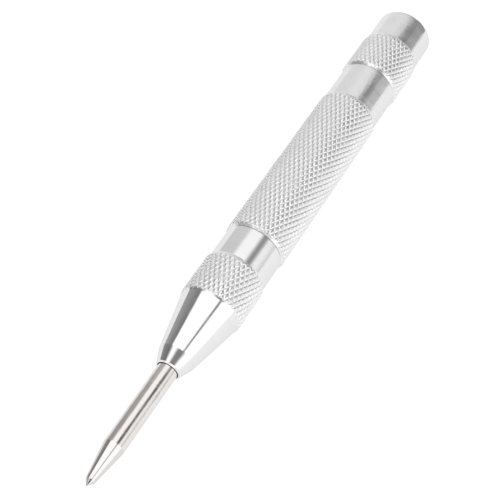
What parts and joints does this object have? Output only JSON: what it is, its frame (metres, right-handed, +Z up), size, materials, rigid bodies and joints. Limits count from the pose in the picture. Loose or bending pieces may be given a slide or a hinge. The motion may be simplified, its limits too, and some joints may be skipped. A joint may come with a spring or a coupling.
{
  "type": "automatic center punch",
  "caption": "Spring-driven center punch for marking metal: slim hardened point, polished cone nose, knurled barrel, and a knurled screw cap that sets the blow.",
  "frame": {"origin": "the tip of the punch's ground point", "axes": "+X along the tool's axis from the tip toward the cap; the tool lies on its side, with +Z up"},
  "size_m": [0.13, 0.0132, 0.0132],
  "materials": {
    "polished_chrome": "polished",
    "satin_chrome": "gloss",
    "hardened_steel": "gloss",
    "spring_steel": "gloss",
    "inner_steel": "satin"
  },
  "bodies": {
    "barrel": {"barrel": "satin_chrome", "nose_sleeve": "polished_chrome", "return_spring": "spring_steel"},
    "punch": {"punch": "hardened_steel"},
    "striker_pin": {"striker_pin": "hardened_steel"},
    "hammer": {"hammer": "inner_steel"},
    "spring_seat": {"spring_seat": "inner_steel", "main_spring": "spring_steel"},
    "cap": {"cap": "satin_chrome"}
  },
  "joints": [
    {"name": "punch_stroke", "type": "slide", "parent": "barrel", "child": "punch", "axis": [1, 0, 0], "range_m": [0, 0.009], "stiffness_N_per_m": 500, "springref_m": -0.004, "deforming": ["return_spring"]},
    {"name": "striker_align", "type": "hinge", "parent": "punch", "child": "striker_pin", "pos_m": [0.049, 0, 0], "axis": [0, 1, 0], "range_deg": [0, 1.3]},
    {"name": "hammer_stroke", "type": "slide", "parent": "barrel", "child": "hammer", "axis": [1, 0, 0], "range_m": [0, 0.009], "stiffness_N_per_m": 3000, "springref_m": -0.005, "deforming": ["main_spring"]},
    {"name": "cap_turn", "type": "hinge", "parent": "spring_seat", "child": "cap", "pos_m": [0.12, 0, 0], "axis": [1, 0, 0], "range_deg": [0, 2160]},
    {"name": "cap_travel", "type": "slide", "parent": "barrel", "child": "spring_seat", "axis": [1, 0, 0], "range_m": [0, 0.0045]}
  ],
  "couplings": [
    {"joint": "striker_align", "follows": "punch_stroke", "rad_per_m": 2.5},
    {"joint": "hammer_stroke", "follows": "punch_stroke", "ratio": 1},
    {"joint": "cap_travel", "follows": "cap_turn", "m_per_rad": 0.00011936}
  ]
}
